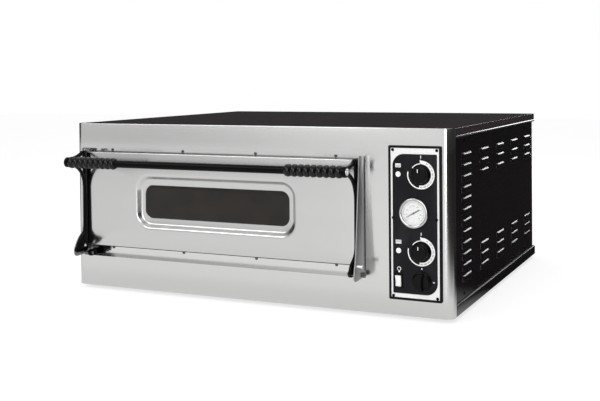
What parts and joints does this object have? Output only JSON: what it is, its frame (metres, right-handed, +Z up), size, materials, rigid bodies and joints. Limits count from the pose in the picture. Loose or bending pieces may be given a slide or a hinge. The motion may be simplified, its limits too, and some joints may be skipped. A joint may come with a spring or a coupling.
{
  "type": "deck oven",
  "caption": "Single-deck electric baking oven with a drop-down windowed door, side control panel and stone-floored chamber.",
  "frame": {"origin": "middle of the overall footprint, handle included, on the surface the feet stand on", "axes": "+X to the right seen from the door side and along the length, +Y from the door to the back, +Z up"},
  "size_m": [0.975, 0.905, 0.413],
  "materials": {
    "brushed_steel": "stainless sheet, fine horizontal grain",
    "plate_steel": "stainless plate, satin",
    "liner_steel": "aluminised sheet, heat dulled",
    "galvanised_steel": "zinc coated sheet, satin",
    "chrome": "bright nickel",
    "black_paint": "gloss black stove enamel",
    "black_cast": "gloss black coating on metal",
    "element_steel": "oxidised heater sheath",
    "black_plastic": "fine texture",
    "knob_plastic": "satin",
    "grip_rubber": "ribbed, satin",
    "rubber": "matte",
    "white_plate": "satin white",
    "white_plastic": "semi gloss",
    "ceramic": "glazed porcelain",
    "stone": "fired chamotte, rough",
    "mineral_wool": "loose fibre felt",
    "clear_glass": "clear",
    "smoked_glass": "dark heat-resistant glass"
  },
  "bodies": {
    "cabinet": {"back_panel": "galvanised_steel", "base_tray": "black_paint", "cable_gland": "black_plastic", "chamber_liner": "liner_steel", "control_bezel": "black_plastic", "control_overlay": "black_plastic", "control_plate": "white_plate", "front_left_foot": "rubber", "front_right_foot": "rubber", "rear_left_foot": "rubber", "rear_right_foot": "rubber", "front_panel": "brushed_steel", "insulation_blanket": "mineral_wool", "rear_insulation": "mineral_wool", "lamp_glass": "clear_glass", "lamp_holder": "ceramic", "left_baking_stone": "stone", "right_baking_stone": "stone", "left_hinge_bracket": "black_cast", "right_hinge_bracket": "black_cast", "left_side_panel": "black_paint", "right_side_panel": "black_paint", "light_switch_frame": "black_plastic", "upper_heating_element": "element_steel", "lower_heating_element": "element_steel", "upper_pilot_light": "white_plastic", "lower_pilot_light": "white_plastic", "upper_thermostat": "black_plastic", "lower_thermostat": "black_plastic", "upper_thermostat_bulb": "chrome", "lower_thermostat_bulb": "chrome", "main_switch": "black_plastic", "terminal_block": "white_plastic", "thermometer_bezel": "chrome", "thermometer_body": "galvanised_steel", "thermometer_dial": "white_plate", "thermometer_glass": "clear_glass", "top_cover": "black_paint"},
    "door": {"door_glass": "smoked_glass", "door_inner_skin": "galvanised_steel", "door_insulation": "mineral_wool", "door_outer_skin": "brushed_steel", "glass_retainer": "galvanised_steel", "handle_bar": "black_cast", "left_arm_bolt": "chrome", "right_arm_bolt": "chrome", "left_door_plate": "plate_steel", "right_door_plate": "plate_steel", "left_handle_arm": "black_cast", "right_handle_arm": "black_cast", "left_handle_grip": "grip_rubber", "right_handle_grip": "grip_rubber", "left_pivot_pin": "chrome", "right_pivot_pin": "chrome"},
    "upper_thermostat_knob": {"upper_thermostat_knob": "knob_plastic"},
    "lower_thermostat_knob": {"lower_thermostat_knob": "knob_plastic"},
    "main_switch_knob": {"main_switch_knob": "knob_plastic"},
    "thermometer_needle": {"thermometer_needle": "black_plastic"},
    "light_switch_rocker": {"light_switch_rocker": "white_plastic"}
  },
  "joints": [
    {"name": "door_hinge", "type": "hinge", "parent": "cabinet", "child": "door", "pos_m": [-0.0875, -0.3758, 0.094], "axis": [1, 0, 0], "range_deg": [0, 90]},
    {"name": "upper_thermostat_knob_turn", "type": "hinge", "parent": "cabinet", "child": "upper_thermostat_knob", "pos_m": [0.42, -0.3667, 0.3145], "axis": [0, 1, 0], "range_deg": [0, 300]},
    {"name": "lower_thermostat_knob_turn", "type": "hinge", "parent": "cabinet", "child": "lower_thermostat_knob", "pos_m": [0.42, -0.3667, 0.1508], "axis": [0, 1, 0], "range_deg": [0, 300]},
    {"name": "main_switch_knob_turn", "type": "hinge", "parent": "cabinet", "child": "main_switch_knob", "pos_m": [0.421, -0.3667, 0.0875], "axis": [0, 1, 0], "range_deg": [0, 90]},
    {"name": "thermometer_needle_turn", "type": "hinge", "parent": "cabinet", "child": "thermometer_needle", "pos_m": [0.404, -0.3685, 0.2325], "axis": [0, 1, 0], "range_deg": [-15, 255], "stiffness_Nm_per_rad": 0.0002},
    {"name": "light_switch_rocker_tilt", "type": "hinge", "parent": "cabinet", "child": "light_switch_rocker", "pos_m": [0.3675, -0.3615, 0.086], "axis": [-1, 0, 0], "range_deg": [0, 16]}
  ]
}
